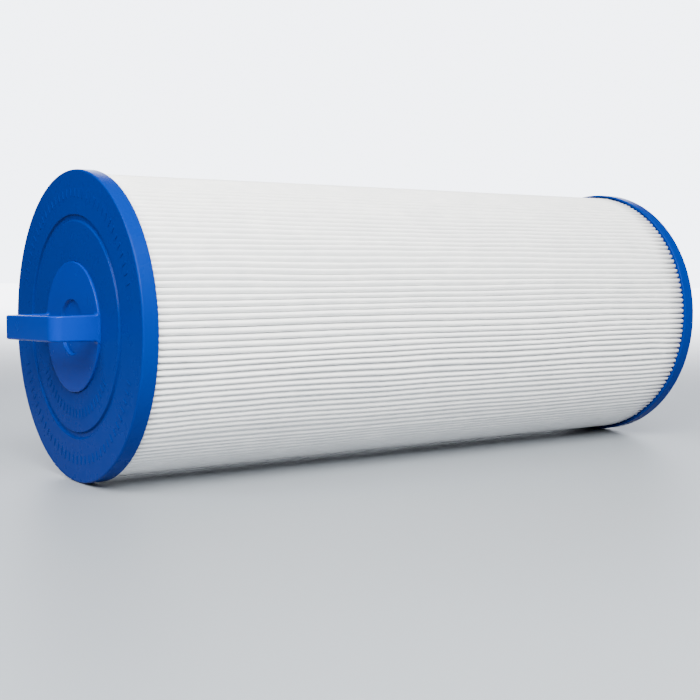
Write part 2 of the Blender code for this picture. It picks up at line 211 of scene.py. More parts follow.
def new_material(name, ior, roughness):
    """An empty material with its shader: the name says the stuff and how its surface was made."""
    finish = bpy.data.materials.new(name)
    finish.use_nodes = True
    tree = finish.node_tree
    shader = tree.nodes["Principled BSDF"]
    shader.inputs["IOR"].default_value = ior
    shader.inputs["Roughness"].default_value = roughness
    shader.inputs["Specular IOR Level"].default_value = 0.1
    return finish, tree, shader


def moulded_plastic(name, colour, shade, roughness, shine=0.1):
    """Injection-moulded plastic: a semi-gloss skin with faint flow clouds and a fine mould texture.

    Shine is the shader's specular level. It is low, so that a bright backdrop leaves the blue deep.
    """
    finish, tree, shader = new_material(name, 1.52, roughness)
    shader.inputs["Specular IOR Level"].default_value = shine
    place = add_node(tree, "ShaderNodeTexCoord").outputs["Object"]
    # Flow clouds are 20 to 40 mm across
    clouds = add_node(tree, "ShaderNodeTexNoise", None, {"Vector": place, "Scale": 35.0, "Detail": 3.0})
    mix = add_node(tree, "ShaderNodeMix", {"data_type": "RGBA"},
                   {"Factor": clouds, "A": linear(colour), "B": linear(shade)})
    tree.links.new(mix.outputs["Result"], shader.inputs["Base Color"])
    # Handling haze: patches of about 8 mm, where the gloss is a little lower
    haze = add_node(tree, "ShaderNodeTexNoise", None, {"Vector": place, "Scale": 120.0, "Detail": 4.0})
    gloss = add_node(tree, "ShaderNodeMapRange", None, {
        "Value": haze, "From Min": 0.3, "From Max": 0.7,
        "To Min": roughness - 0.03, "To Max": roughness + 0.04})
    tree.links.new(gloss.outputs[0], shader.inputs["Roughness"])
    # The mould's grain is about 0.1 mm, drawn at 0.5 mm so that it shows
    grain = add_node(tree, "ShaderNodeTexNoise", None, {"Vector": place, "Scale": 2000.0, "Detail": 2.0})
    sink = add_node(tree, "ShaderNodeTexNoise", None, {"Vector": place, "Scale": 60.0, "Detail": 1.0})
    fine = add_node(tree, "ShaderNodeBump", None, {"Height": grain, "Strength": 0.03, "Distance": 0.05 * MM})
    broad = add_node(tree, "ShaderNodeBump", None,
                     {"Height": sink, "Strength": 0.06, "Distance": 0.3 * MM, "Normal": fine})
    tree.links.new(broad.outputs[0], shader.inputs["Normal"])
    return finish


def spun_bonded_polyester(name, colour, shade):
    """Spun-bonded polyester: matt, with fine random fibres and a soft uneven thickness."""
    finish, tree, shader = new_material(name, 1.45, 0.85)
    place = add_node(tree, "ShaderNodeTexCoord").outputs["Object"]
    # Fibres lie mostly along the pleats: streaks of about 8 by 0.6 mm
    along = add_node(tree, "ShaderNodeMapping", None, {"Vector": place, "Scale": (0.12, 1.0, 1.0)})
    streaks = add_node(tree, "ShaderNodeTexNoise", None,
                       {"Vector": along, "Scale": 900.0, "Detail": 5.0, "Roughness": 0.65})
    cloudy = add_node(tree, "ShaderNodeTexNoise", None, {"Vector": place, "Scale": 90.0, "Detail": 3.0})
    both = add_node(tree, "ShaderNodeMath", {"operation": "MULTIPLY"}, {0: streaks, 1: cloudy})
    share = add_node(tree, "ShaderNodeMapRange", None,
                     {"Value": both, "From Min": 0.15, "From Max": 0.38})
    mix = add_node(tree, "ShaderNodeMix", {"data_type": "RGBA"},
                   {"Factor": share, "A": linear(shade), "B": linear(colour)})
    tree.links.new(mix.outputs["Result"], shader.inputs["Base Color"])
    fibres = add_node(tree, "ShaderNodeBump", None,
                      {"Height": streaks, "Strength": 0.35, "Distance": 0.25 * MM})
    tree.links.new(fibres.outputs[0], shader.inputs["Normal"])
    shader.inputs["Sheen Weight"].default_value = 0.15
    shader.inputs["Sheen Roughness"].default_value = 0.5
    return finish


def cast_resin(name, colour, shade):
    """Cast polyurethane: glossy and a little cloudy, with a wavy poured surface."""
    finish, tree, shader = new_material(name, 1.5, 0.2)
    place = add_node(tree, "ShaderNodeTexCoord").outputs["Object"]
    clouds = add_node(tree, "ShaderNodeTexNoise", None, {"Vector": place, "Scale": 70.0, "Detail": 3.0})
    mix = add_node(tree, "ShaderNodeMix", {"data_type": "RGBA"},
                   {"Factor": clouds, "A": linear(colour), "B": linear(shade)})
    tree.links.new(mix.outputs["Result"], shader.inputs["Base Color"])
    # Poured waves of about 10 mm
    waves = add_node(tree, "ShaderNodeTexNoise", None, {"Vector": place, "Scale": 100.0, "Detail": 2.0})
    poured = add_node(tree, "ShaderNodeBump", None, {"Height": waves, "Strength": 0.4, "Distance": 0.6 * MM})
    tree.links.new(poured.outputs[0], shader.inputs["Normal"])
    return finish


def set_glue(name, colour):
    """Hot-melt glue: waxy, off-white, with a rippled skin where it was drawn out."""
    finish, tree, shader = new_material(name, 1.48, 0.4)
    shader.inputs["Base Color"].default_value = linear(colour)
    place = add_node(tree, "ShaderNodeTexCoord").outputs["Object"]
    drawn = add_node(tree, "ShaderNodeTexNoise", None, {"Vector": place, "Scale": 400.0, "Detail": 2.0})
    ripple = add_node(tree, "ShaderNodeBump", None, {"Height": drawn, "Strength": 0.5, "Distance": 0.3 * MM})
    tree.links.new(ripple.outputs[0], shader.inputs["Normal"])
    return finish


# ---------------------------------------------------------------- mesh helpers

def evaluated_mesh(item):
    """A new plain mesh of an object as its modifiers leave it."""
    bpy.context.view_layer.update()
    graph = bpy.context.evaluated_depsgraph_get()
    return bpy.data.meshes.new_from_object(item.evaluated_get(graph))


def add_piece(name, mesh, finish):
    """A finished piece at the origin, with its place in its mesh."""
    piece = bpy.data.objects.new(name, mesh)
    bpy.context.scene.collection.objects.link(piece)
    mesh.materials.clear()
    mesh.materials.append(finish)
    return piece


def add_shape(name, shape, finish):
    """A finished piece from a shape whose faces are all made."""
    mesh = bpy.data.meshes.new(name)
    shape.to_mesh(mesh)
    shape.free()
    return add_piece(name, mesh, finish)


def bridge(shape, loops):
    """Closes a row of loops into one solid: a band between each two, and a face at each end."""
    for one, two in zip(loops, loops[1:]):
        for i in range(len(one)):
            j = (i + 1) % len(one)
            shape.faces.new((one[i], one[j], two[j], two[i]))
    shape.faces.new(loops[0])
    shape.faces.new(loops[-1])
    bmesh.ops.recalc_face_normals(shape, faces=shape.faces)


def face_outwards(piece):
    """Turns a mesh's faces the right way out."""
    shape = bmesh.new()
    shape.from_mesh(piece.data)
    bmesh.ops.recalc_face_normals(shape, faces=shape.faces)
    shape.to_mesh(piece.data)
    shape.free()


def apply_modifiers(piece):
    """Makes what a piece's modifiers give its plain mesh, and removes them."""
    mesh = evaluated_mesh(piece)
    piece.modifiers.clear()
    piece.data = mesh


def lay_down():
    """Turns a shape drawn round Z into one along X, at the cartridge's height."""
    return Matrix.Translation((0, 0, AXIS_HEIGHT)) @ Matrix.Rotation(math.radians(90), 4, "Y")


def soft_shading(piece):
    """Flat faces keep their own normals, and only the rounded edges blend."""
    piece.data.shade_smooth()
    piece.data.set_sharp_from_angle(angle=math.radians(SHARP_ANGLE))
    modifier = piece.modifiers.new("flat_faces", "WEIGHTED_NORMAL")
    modifier.keep_sharp = True
    apply_modifiers(piece)
    return piece


def round_corners(points):
    """Points are (radius, station, fillet): each corner becomes an arc of that fillet."""
    outline = []
    count = len(points)
    for i, (radius, station, fillet) in enumerate(points):
        corner = Vector((radius, station))
        before = Vector(points[i - 1][:2]) - corner
        after = Vector(points[(i + 1) % count][:2]) - corner
        half = before.angle(after) / 2 if fillet else 0
        if not fillet or half > math.radians(STRAIGHT_ANGLE):
            outline.append(tuple(corner))
            continue
        run = min(fillet / math.tan(half), before.length * 0.49, after.length * 0.49)
        arc = run * math.tan(half)
        centre = corner + (before.normalized() + after.normalized()).normalized() * (arc / math.sin(half))
        start = corner + before.normalized() * run - centre
        sweep = start.angle_signed(corner + after.normalized() * run - centre)
        for step in range(CORNER_STEPS + 1):
            spoke = start.copy()
            spoke.rotate(Matrix.Rotation(-sweep * step / CORNER_STEPS, 2))
            outline.append(tuple(centre + spoke))
    return outline


def turned(name, points, finish):
    """Rounds a closed outline's corners and turns it round the cartridge's axis."""
    shape = bmesh.new()
    corners = [shape.verts.new((radius, 0.0, station)) for radius, station in round_corners(points)]
    edges = [shape.edges.new(pair) for pair in zip(corners, corners[1:])]
    edges.append(shape.edges.new((corners[-1], corners[0])))
    bmesh.ops.spin(shape, geom=corners + edges, cent=(0, 0, 0), axis=(0, 0, 1),
                   angle=2 * math.pi, steps=TURN_STEPS, use_merge=True)
    bmesh.ops.remove_doubles(shape, verts=shape.verts, dist=MERGE)
    bmesh.ops.recalc_face_normals(shape, faces=shape.faces)
    shape.transform(lay_down())
    return add_shape(name, shape, finish)


def join_solid(piece, extra):
    """Unites two closed shapes into one."""
    union = piece.modifiers.new("joined", "BOOLEAN")
    union.operation = "UNION"
    union.solver = "EXACT"
    union.object = extra
    apply_modifiers(piece)
    bpy.data.objects.remove(extra)
    return piece


def new_tree(name, inputs):
    """A Geometry Nodes tree with named inputs and a finish, and its Group Input node."""
    tree = bpy.data.node_groups.new(name, "GeometryNodeTree")
    for label, kind in inputs.items():
        tree.interface.new_socket(label, in_out="INPUT", socket_type="NodeSocket" + kind)
    tree.interface.new_socket("Finish", in_out="INPUT", socket_type="NodeSocketMaterial")
    tree.interface.new_socket("Geometry", in_out="OUTPUT", socket_type="NodeSocketGeometry")
    return tree, add_node(tree, "NodeGroupInput")


def end_tree(tree, given, geometry):
    """Makes instances real, gives the result its finish and hands it out."""
    real = add_node(tree, "GeometryNodeRealizeInstances", None, {"Geometry": geometry})
    finish = add_node(tree, "GeometryNodeSetMaterial", None,
                      {"Geometry": real, "Material": given.outputs["Finish"]})
    add_node(tree, "NodeGroupOutput", None, {"Geometry": finish})
    return tree


def bake_tree(name, tree, sizes, finish):
    """Runs a tree with its sizes and keeps the result as a plain mesh."""
    values = {**sizes, "Finish": finish}
    holder = bpy.data.objects.new(name + "_tree", bpy.data.meshes.new(name + "_tree"))
    bpy.context.scene.collection.objects.link(holder)
    modifier = holder.modifiers.new(name, "NODES")
    modifier.node_group = tree
    for item in tree.interface.items_tree:
        if item.in_out == "INPUT":
            modifier[item.identifier] = values[item.name]
    mesh = evaluated_mesh(holder)
    bpy.data.objects.remove(holder)
    return add_piece(name, mesh, finish)


# ---------------------------------------------------------------- end caps

def cap_outline(inner_points):
    """The rim shared by both caps, then what is inside it, as (radius, depth from the face, fillet)."""
    rim_inner = CAP_RADIUS - RIM_WALL
    rim = [
        (rim_inner, RIM_HEIGHT, 0.35 * MM),
        (CAP_RADIUS, RIM_HEIGHT, 0.4 * MM),
        (CAP_RADIUS, 0.0, 0.8 * MM),
    ]
    return rim + inner_points + [(rim_inner, PLATE, 0.5 * MM)]


def make_top_cap(finish):
    """The handle-end cap: its grooved face, and the stepped hole that the handle's boss sits in."""
    opening = BOSS_RADIUS + BOSS_SLIT
    recess = FLANGE_RADIUS + FIT
    inside = [
        (GROOVE_OUTER, 0.0, 0.25 * MM),
        (GROOVE_OUTER - GROOVE_SLOPE, GROOVE_DEPTH, 0.35 * MM),
        (GROOVE_INNER + GROOVE_SLOPE, GROOVE_DEPTH, 0.35 * MM),
        (GROOVE_INNER, 0.0, 0.25 * MM),
        (opening, 0.0, 0.2 * MM),
        (opening, LIP, 0.0),
        (recess, LIP, 0.0),
        (recess, PLATE, 0.0),
    ]
    points = [(radius, TOP_FACE + depth, fillet) for radius, depth, fillet in cap_outline(inside)]
    return soft_shading(turned("top_cap_moulding", points, finish))


def make_bottom_cap(finish):
    """The nipple-end cap: a shallow relief round its hole, and the step that holds the flange."""
    opening = THREAD_RADIUS + FIT
    relief_edge, relief_foot, relief_depth = NIPPLE_RELIEF
    inside = [
        (opening + relief_edge, 0.0, 0.3 * MM),
        (opening + relief_foot, relief_depth, 0.3 * MM),
        (opening, relief_depth, 0.3 * MM),
        (opening, LIP, 0.0),
        (FLANGE_RECESS, LIP, 0.0),
        (FLANGE_RECESS, PLATE, 0.0),
    ]
    points = [(radius, BOTTOM_FACE - depth, fillet) for radius, depth, fillet in cap_outline(inside)]
    return soft_shading(turned("bottom_cap_moulding", points, finish))


def strap_path():
    """The strap's centre line as (across, out, tangent angle), foot to foot."""
    half = HANDLE_SPAN / 2 - STRAP_THICKNESS / 2
    radius = STRAP_CORNER - STRAP_THICKNESS / 2
    reach = TOP_FACE - HANDLE_LOW.x - STRAP_THICKNESS / 2
    path = []
    for out in STRAP_LEG:
        path.append((half, out * MM, 90.0))
    for step in range(STRAP_CORNER_STEPS):
        angle = math.radians(90.0 * step / STRAP_CORNER_STEPS)
        path.append((half - radius * (1 - math.cos(angle)),
                     reach - radius * (1 - math.sin(angle)), 90.0 + math.degrees(angle)))
    for step in range(STRAP_GRIP_STEPS + 1):
        path.append(((half - radius) * (1 - step / STRAP_GRIP_STEPS), reach, 180.0))
    mirrored = [(-across, out, 360.0 - heading) for across, out, heading in reversed(path[:-1])]
    return path + mirrored


def strap_section(width, flare):
    """A rounded rectangle of the strap's thickness and width; flare widens it all but outwards."""
    section = []
    half_t = STRAP_THICKNESS / 2
    half_w = width / 2 + flare
    for corner in range(4):
        side_t = 1 if corner in (0, 3) else -1
        side_w = 1 if corner in (0, 1) else -1
        depth = half_t + (flare if side_t < 0 else 0.0)
        for step in range(5):
            angle = math.radians(90.0 * corner + 22.5 * step)
            section.append((side_t * (depth - STRAP_EDGE) + STRAP_EDGE * math.cos(angle),
                            side_w * (half_w - STRAP_EDGE) + STRAP_EDGE * math.sin(angle)))
    return section


def make_strap(finish):
    """The strap, foot to foot: it tapers towards the grip and flares where it meets the boss."""
    shape = bmesh.new()
    loops = []
    for across, out, heading in strap_path():
        share = min(1.0, max(0.0, (out - BOSS_RAISE) / STRAP_TAPER))
        width = STRAP_FOOT_WIDTH + (STRAP_GRIP_WIDTH - STRAP_FOOT_WIDTH) * share
        over = min(1.0, max(0.0, (out - BOSS_RAISE) / STRAP_FILLET))
        flare = STRAP_FILLET * (1 - math.sqrt(1 - (1 - over) ** 2))
        normal = Vector((math.sin(math.radians(heading)), -math.cos(math.radians(heading))))
        loop = []
        for outward, up in strap_section(width, flare):
            y = across + normal.x * outward
            depth = out + normal.y * outward
            loop.append(shape.verts.new((TOP_FACE - depth, y, AXIS_HEIGHT + up)))
        loops.append(loop)
    bridge(shape, loops)
    bmesh.ops.rotate(shape, verts=shape.verts, cent=(0.0, 0.0, AXIS_HEIGHT),
                     matrix=Matrix.Rotation(-math.radians(HANDLE_TURN), 3, "X"))
    return add_shape("strap", shape, finish)


def make_handle(finish):
    """The boss disc with its raised edge and centre dimple, and the strap moulded on to it."""
    back = TOP_FACE + PLATE
    shoulder = TOP_FACE + LIP + FIT
    boss_face = TOP_FACE - BOSS_RAISE
    points = [
        (ON_AXIS, back, 0.0),
        (FLANGE_RADIUS, back, 0.2 * MM),
        (FLANGE_RADIUS, shoulder, 0.2 * MM),
        (BOSS_RADIUS, shoulder, 0.0),
        (BOSS_RADIUS, boss_face, 0.45 * MM),
        (DIMPLE_RADIUS, boss_face, 0.25 * MM),
        (DIMPLE_RADIUS - DIMPLE_SLOPE, boss_face + DIMPLE_DEPTH, 0.4 * MM),
        (ON_AXIS, boss_face + DIMPLE_DEPTH, 0.0),
    ]
    strap = make_strap(finish)
    boss = turned("handle_moulding", points, finish)
    return soft_shading(join_solid(boss, strap))


def marks_tree():
    """Short raised bars set side by side along an arc on the cap's face."""
    tree, given = new_tree("raised_marks", {
        "Face": "Float", "Axis Height": "Float", "Radius": "Float",
        "Start": "Float", "Sweep": "Float", "Count": "Int",
        "Length": "Float", "Width": "Float", "Height": "Float"})
    line = add_node(tree, "GeometryNodeMeshLine", None, {"Count": given.outputs["Count"]})
    last = add_node(tree, "FunctionNodeIntegerMath", {"operation": "SUBTRACT"},
                    {0: given.outputs["Count"], 1: 1})
    index = add_node(tree, "GeometryNodeInputIndex")
    share = add_node(tree, "ShaderNodeMath", {"operation": "DIVIDE"}, {0: index, 1: last})
    angle = add_node(tree, "ShaderNodeMath", {"operation": "MULTIPLY_ADD"},
                     {0: share, 1: given.outputs["Sweep"], 2: given.outputs["Start"]})
    sine = add_node(tree, "ShaderNodeMath", {"operation": "SINE"}, {0: angle})
    cosine = add_node(tree, "ShaderNodeMath", {"operation": "COSINE"}, {0: angle})
    side = add_node(tree, "ShaderNodeMath", {"operation": "MULTIPLY"},
                    {0: cosine, 1: given.outputs["Radius"]})
    up = add_node(tree, "ShaderNodeMath", {"operation": "MULTIPLY_ADD"},
                  {0: sine, 1: given.outputs["Radius"], 2: given.outputs["Axis Height"]})
    place = add_node(tree, "ShaderNodeCombineXYZ", None,
                     {"X": given.outputs["Face"], "Y": side, "Z": up})
    spots = add_node(tree, "GeometryNodeSetPosition", None, {"Geometry": line, "Position": place})
    size = add_node(tree, "ShaderNodeCombineXYZ", None, {
        "X": given.outputs["Height"], "Y": given.outputs["Length"], "Z": given.outputs["Width"]})
    bar = add_node(tree, "GeometryNodeMeshCube", None, {"Size": size})
    aim = add_node(tree, "ShaderNodeCombineXYZ", None, {"X": angle})
    bars = add_node(tree, "GeometryNodeInstanceOnPoints", None,
                    {"Points": spots, "Instance": bar.outputs["Mesh"], "Rotation": aim})
    return end_tree(tree, given, bars)


def make_marks(name, finish, face, radius, start, sweep, count):
    """One arc of plain moulded marks, at angles in degrees from +Y up towards +Z."""
    sizes = {"Face": face, "Axis Height": AXIS_HEIGHT, "Radius": radius,
             "Start": math.radians(start), "Sweep": math.radians(sweep), "Count": count,
             "Length": MARK_LENGTH, "Width": MARK_WIDTH, "Height": MARK_HEIGHT}
    return bake_tree(name, marks_tree(), sizes, finish)


# ---------------------------------------------------------------- pleated sheet

def fold_outline():
    """One fold of the sheet's middle surface as (radius, angle from its crest), valley to valley."""
    pitch = 2 * math.pi / PLEATS
    bottom = MEDIA_INNER + SHEET / 2
    crest = (CREST_WIDTH - SHEET) / 2
    centre = MEDIA_RADIUS - SHEET / 2 - crest
    neck = MEDIA_RADIUS - NECK_DEPTH
    shoulder = MEDIA_RADIUS - SHOULDER_DEPTH
    side = [
        (bottom + ROOT_RADIUS, pitch / 2 - ROOT_RADIUS / bottom),
        (shoulder, pitch / 2 - (SHOULDER_GAP + SHEET) / 2 / shoulder),
        (neck, (NECK_WIDTH - SHEET) / 2 / neck),
    ]
    arc = []
    for step in range(CREST_STEPS + 1):
        angle = math.pi * (1 - step / CREST_STEPS)
        radius = centre + crest * math.sin(angle)
        arc.append((radius, crest * math.cos(angle) / radius))
    left = [(radius, -angle) for radius, angle in side]
    return [(bottom, -pitch / 2)] + left + arc + side[::-1]


def drift(tree, place, scale, reach):
    """Smooth noise read at a scaled place, from minus to plus about half the reach."""
    scaled = add_node(tree, "ShaderNodeVectorMath", {"operation": "MULTIPLY"}, {0: place, 1: scale})
    noise = add_node(tree, "ShaderNodeTexNoise", None, {"Vector": scaled, "Scale": 1.0, "Detail": 1.0})
    centred = add_node(tree, "ShaderNodeMath", {"operation": "SUBTRACT"}, {0: noise, 1: 0.5})
    return add_node(tree, "ShaderNodeMath", {"operation": "MULTIPLY"}, {0: centred, 1: reach})


def sheet_grid(tree, given):
    """A grid whose columns are the folds' points in turn: the grid, row share, pleat and fold point."""
    fold = add_node(tree, "GeometryNodeObjectInfo", None, {"Object": given.outputs["Fold"]})
    columns = add_node(tree, "FunctionNodeIntegerMath", {"operation": "MULTIPLY"},
                       {0: given.outputs["Points"], 1: given.outputs["Pleats"]})
    closing = add_node(tree, "FunctionNodeIntegerMath", {"operation": "ADD"}, {0: columns, 1: 1})
    grid = add_node(tree, "GeometryNodeMeshGrid", None,
                    {"Vertices X": closing, "Vertices Y": given.outputs["Rows"]})
    index = add_node(tree, "GeometryNodeInputIndex")
    column = add_node(tree, "FunctionNodeIntegerMath", {"operation": "DIVIDE_FLOOR"},
                      {0: index, 1: given.outputs["Rows"]})
    row = add_node(tree, "FunctionNodeIntegerMath", {"operation": "MODULO"},
                   {0: index, 1: given.outputs["Rows"]})
    # The closing column lies on the first one
    ring = add_node(tree, "FunctionNodeIntegerMath", {"operation": "MODULO"}, {0: column, 1: columns})
    point = add_node(tree, "FunctionNodeIntegerMath", {"operation": "MODULO"},
                     {0: ring, 1: given.outputs["Points"]})
    pleat = add_node(tree, "FunctionNodeIntegerMath", {"operation": "DIVIDE_FLOOR"},
                     {0: ring, 1: given.outputs["Points"]})
    position = add_node(tree, "GeometryNodeInputPosition")
    outline = add_node(tree, "GeometryNodeSampleIndex", {"data_type": "FLOAT_VECTOR"},
                       {"Geometry": fold.outputs["Geometry"], "Value": position, "Index": point})
    fold_point = add_node(tree, "ShaderNodeSeparateXYZ", None, {"Vector": outline})
    last = add_node(tree, "FunctionNodeIntegerMath", {"operation": "SUBTRACT"},
                    {0: given.outputs["Rows"], 1: 1})
    along = add_node(tree, "ShaderNodeMath", {"operation": "DIVIDE"}, {0: row, 1: last})
    return grid, along, pleat, fold_point


def neighbours_sway(tree, given, station, straight):
    """How far sideways neighbours crowd and sway together, read round the ring at each point's angle."""
    turn_y = add_node(tree, "ShaderNodeMath", {"operation": "COSINE"}, {0: straight})
    turn_z = add_node(tree, "ShaderNodeMath", {"operation": "SINE"}, {0: straight})
    around = add_node(tree, "ShaderNodeCombineXYZ", None, {"X": station, "Y": turn_y, "Z": turn_z})
    seeded = add_node(tree, "ShaderNodeVectorMath", {"operation": "ADD"},
                      {0: around, 1: given.outputs["Seed"]})
    crowding = drift(tree, seeded, CROWDING_GRAIN, given.outputs["Crowding"])
    sway = drift(tree, seeded, SWAY_GRAIN, given.outputs["Sway"])
    return add_node(tree, "ShaderNodeMath", {"operation": "ADD"}, {0: crowding, 1: sway})


def held_ends(tree, along):
    """The resin holds the ends: 1 in the middle, dying away over the last tenth of the length."""
    near = add_node(tree, "ShaderNodeMath", {"operation": "SUBTRACT"}, {0: along, 1: 0.5})
    middle = add_node(tree, "ShaderNodeMath", {"operation": "ABSOLUTE"}, {0: near})
    return add_node(tree, "ShaderNodeMapRange", {"interpolation_type": "SMOOTHSTEP"}, {
        "Value": middle, "From Min": 0.5, "From Max": 0.4, "To Min": END_SLACK, "To Max": 1.0})


def crest_lean(tree, given, pleat, above):
    """Each crest leans a little on its own, above the place where the folds touch."""
    off = add_node(tree, "FunctionNodeRandomValue", {"data_type": "FLOAT"},
                   {"Min": -1.0, "Max": 1.0, "ID": pleat, "Seed": given.outputs["Seed"]})
    lean = add_node(tree, "ShaderNodeMath", {"operation": "MULTIPLY"},
                    {0: off.outputs[1], 1: given.outputs["Lean"]})
    return add_node(tree, "ShaderNodeMath", {"operation": "MULTIPLY"}, {0: lean, 1: above})


def crest_drop(tree, given, station, pleat, above):
    """How far each crest stands low, pleat by pleat."""
    uneven = add_node(tree, "ShaderNodeMath", {"operation": "MULTIPLY"}, {0: pleat, 1: PLEAT_GRAIN})
    fine = add_node(tree, "ShaderNodeCombineXYZ", None,
                    {"X": station, "Y": uneven, "Z": given.outputs["Seed"]})
    rise = drift(tree, fine, HEIGHT_GRAIN, given.outputs["Height Spread"])
    half = add_node(tree, "ShaderNodeMath", {"operation": "MULTIPLY"},
                    {0: given.outputs["Height Spread"], 1: -0.5})
    lowered = add_node(tree, "ShaderNodeMath", {"operation": "ADD"}, {0: rise, 1: half})
    kept = add_node(tree, "ShaderNodeMath", {"operation": "MINIMUM"}, {0: lowered, 1: 0.0})
    return add_node(tree, "ShaderNodeMath", {"operation": "MULTIPLY"}, {0: kept, 1: above})


def place_round_axis(tree, given, station, radius, angle):
    """A place from its station, radius and angle from straight down."""
    sine = add_node(tree, "ShaderNodeMath", {"operation": "SINE"}, {0: angle})
    cosine = add_node(tree, "ShaderNodeMath", {"operation": "COSINE"}, {0: angle})
    side = add_node(tree, "ShaderNodeMath", {"operation": "MULTIPLY"}, {0: radius, 1: sine})
    below = add_node(tree, "ShaderNodeMath", {"operation": "MULTIPLY"}, {0: radius, 1: cosine})
    height = add_node(tree, "ShaderNodeMath", {"operation": "SUBTRACT"},
                      {0: given.outputs["Axis Height"], 1: below})
    return add_node(tree, "ShaderNodeCombineXYZ", None, {"X": station, "Y": side, "Z": height})


def fold_tree():
    """Repeats the fold round the core and draws it out along X, with the sheet's slight waves."""
    tree, given = new_tree("folded_sheet", {
        "Fold": "Object", "Points": "Int", "Pleats": "Int", "Rows": "Int", "Start": "Float",
        "End": "Float", "Axis Height": "Float", "Inner Radius": "Float", "Touch Radius": "Float",
        "Outer Radius": "Float", "Crowding": "Float", "Sway": "Float", "Lean": "Float",
        "Height Spread": "Float", "Seed": "Int"})
    grid, along, pleat, fold_point = sheet_grid(tree, given)
    depth = fold_point.outputs["X"]
    station = add_node(tree, "ShaderNodeMapRange", None, {
        "Value": along, "To Min": given.outputs["Start"], "To Max": given.outputs["End"]})
    pitch = add_node(tree, "ShaderNodeMath", {"operation": "DIVIDE"},
                     {0: 2 * math.pi, 1: given.outputs["Pleats"]})
    crest = add_node(tree, "ShaderNodeMath", {"operation": "MULTIPLY"}, {0: pleat, 1: pitch})
    straight = add_node(tree, "ShaderNodeMath", {"operation": "ADD"},
                        {0: fold_point.outputs["Y"], 1: crest})
    # The core holds the roots, and the sheet moves more the farther out it is
    out = add_node(tree, "ShaderNodeMapRange", None, {
        "Value": depth, "From Min": given.outputs["Inner Radius"],
        "From Max": given.outputs["Outer Radius"]})
    free = add_node(tree, "ShaderNodeMath", {"operation": "POWER"}, {0: out, 1: ROOT_HOLD})
    above = add_node(tree, "ShaderNodeMapRange", None, {
        "Value": depth, "From Min": given.outputs["Touch Radius"],
        "From Max": given.outputs["Outer Radius"]})
    together = neighbours_sway(tree, given, station, straight)
    swept = add_node(tree, "ShaderNodeMath", {"operation": "MULTIPLY"}, {0: together, 1: free})
    shift = add_node(tree, "ShaderNodeMath", {"operation": "ADD"},
                     {0: swept, 1: crest_lean(tree, given, pleat, above)})
    sideways = add_node(tree, "ShaderNodeMath", {"operation": "MULTIPLY"},
                        {0: shift, 1: held_ends(tree, along)})
    swing = add_node(tree, "ShaderNodeMath", {"operation": "DIVIDE"}, {0: sideways, 1: depth})
    drop = crest_drop(tree, given, station, pleat, above)
    radius = add_node(tree, "ShaderNodeMath", {"operation": "ADD"}, {0: depth, 1: drop})
    angle = add_node(tree, "ShaderNodeMath", {"operation": "ADD"}, {0: straight, 1: swing})
    placed = place_round_axis(tree, given, station, radius, angle)
    bent = add_node(tree, "GeometryNodeSetPosition", None,
                    {"Geometry": grid.outputs["Mesh"], "Position": placed})
    welded = add_node(tree, "GeometryNodeMergeByDistance", None,
                      {"Geometry": bent, "Distance": SHEET_WELD})
    return end_tree(tree, given, welded)


def seam_line(media):
    """Places along the valley nearest straight down: midway between the crests on its two sides."""
    pitch = 2 * math.pi / PLEATS
    rows = {}
    for vertex in media.data.vertices:
        x, y, z = vertex.co
        across, down = y, AXIS_HEIGHT - z
        if math.hypot(across, down) > MEDIA_RADIUS - NECK_DEPTH / 2:
            rows.setdefault(round(x, 5), []).append(math.atan2(across, down))
    line = []
    for x, angles in sorted(rows.items()):
        left = [angle for angle in angles if abs(angle) < pitch / 2]
        right = [angle for angle in angles if abs(angle - pitch) < pitch / 2]
        if left and right:
            line.append((x, (sum(left) / len(left) + sum(right) / len(right)) / 2))
    return line


def make_seam(media, finish):
    """The glue that closes the ring of pleats: a bead squeezed into one valley."""
    shape = bmesh.new()
    loops = []
    for x, angle in seam_line(media):
        out = Vector((0.0, math.sin(angle), -math.cos(angle)))
        side = Vector((0.0, math.cos(angle), math.sin(angle)))
        centre = Vector((x, 0.0, AXIS_HEIGHT)) + out * (MEDIA_RADIUS - SEAM_SINK)
        turns = [2 * math.pi * step / SEAM_SIDES for step in range(SEAM_SIDES)]
        loops.append([shape.verts.new(centre + SEAM_RADIUS * (out * math.cos(t) + side * math.sin(t)))
                      for t in turns])
    bridge(shape, loops)
    seam = add_shape("seam_glue_line", shape, finish)
    seam.data.shade_smooth()
    return seam


def make_media(media_finish, glue_finish):
    """The folded sheet with its thickness, and the glue line laid in one of its valleys."""
    outline = bpy.data.meshes.new("fold")
    outline.from_pydata([(radius, angle, 0.0) for radius, angle in fold_outline()], [], [])
    fold = bpy.data.objects.new("fold", outline)
    bpy.context.scene.collection.objects.link(fold)
    sizes = {
        "Fold": fold, "Points": len(outline.vertices), "Pleats": PLEATS, "Rows": MEDIA_ROWS,
        "Start": TOP_RESIN - MEDIA_SET_IN, "End": BOTTOM_RESIN + MEDIA_SET_IN,
        "Axis Height": AXIS_HEIGHT, "Inner Radius": MEDIA_INNER,
        "Touch Radius": MEDIA_RADIUS - SHOULDER_DEPTH, "Outer Radius": MEDIA_RADIUS,
        "Crowding": CROWDING, "Sway": SWAY, "Lean": LEAN, "Height Spread": HEIGHT_SPREAD,
        "Seed": SHEET_SEED}
    piece = bake_tree("pleated_media", fold_tree(), sizes, media_finish)
    bpy.data.objects.remove(fold)
    seam = make_seam(piece, glue_finish)
    face_outwards(piece)
    wall = piece.modifiers.new("sheet", "SOLIDIFY")
    wall.thickness = SHEET
    wall.offset = 0.0
    piece.data.shade_smooth()
    apply_modifiers(piece)
    return piece, seam


# ---------------------------------------------------------------- nipple

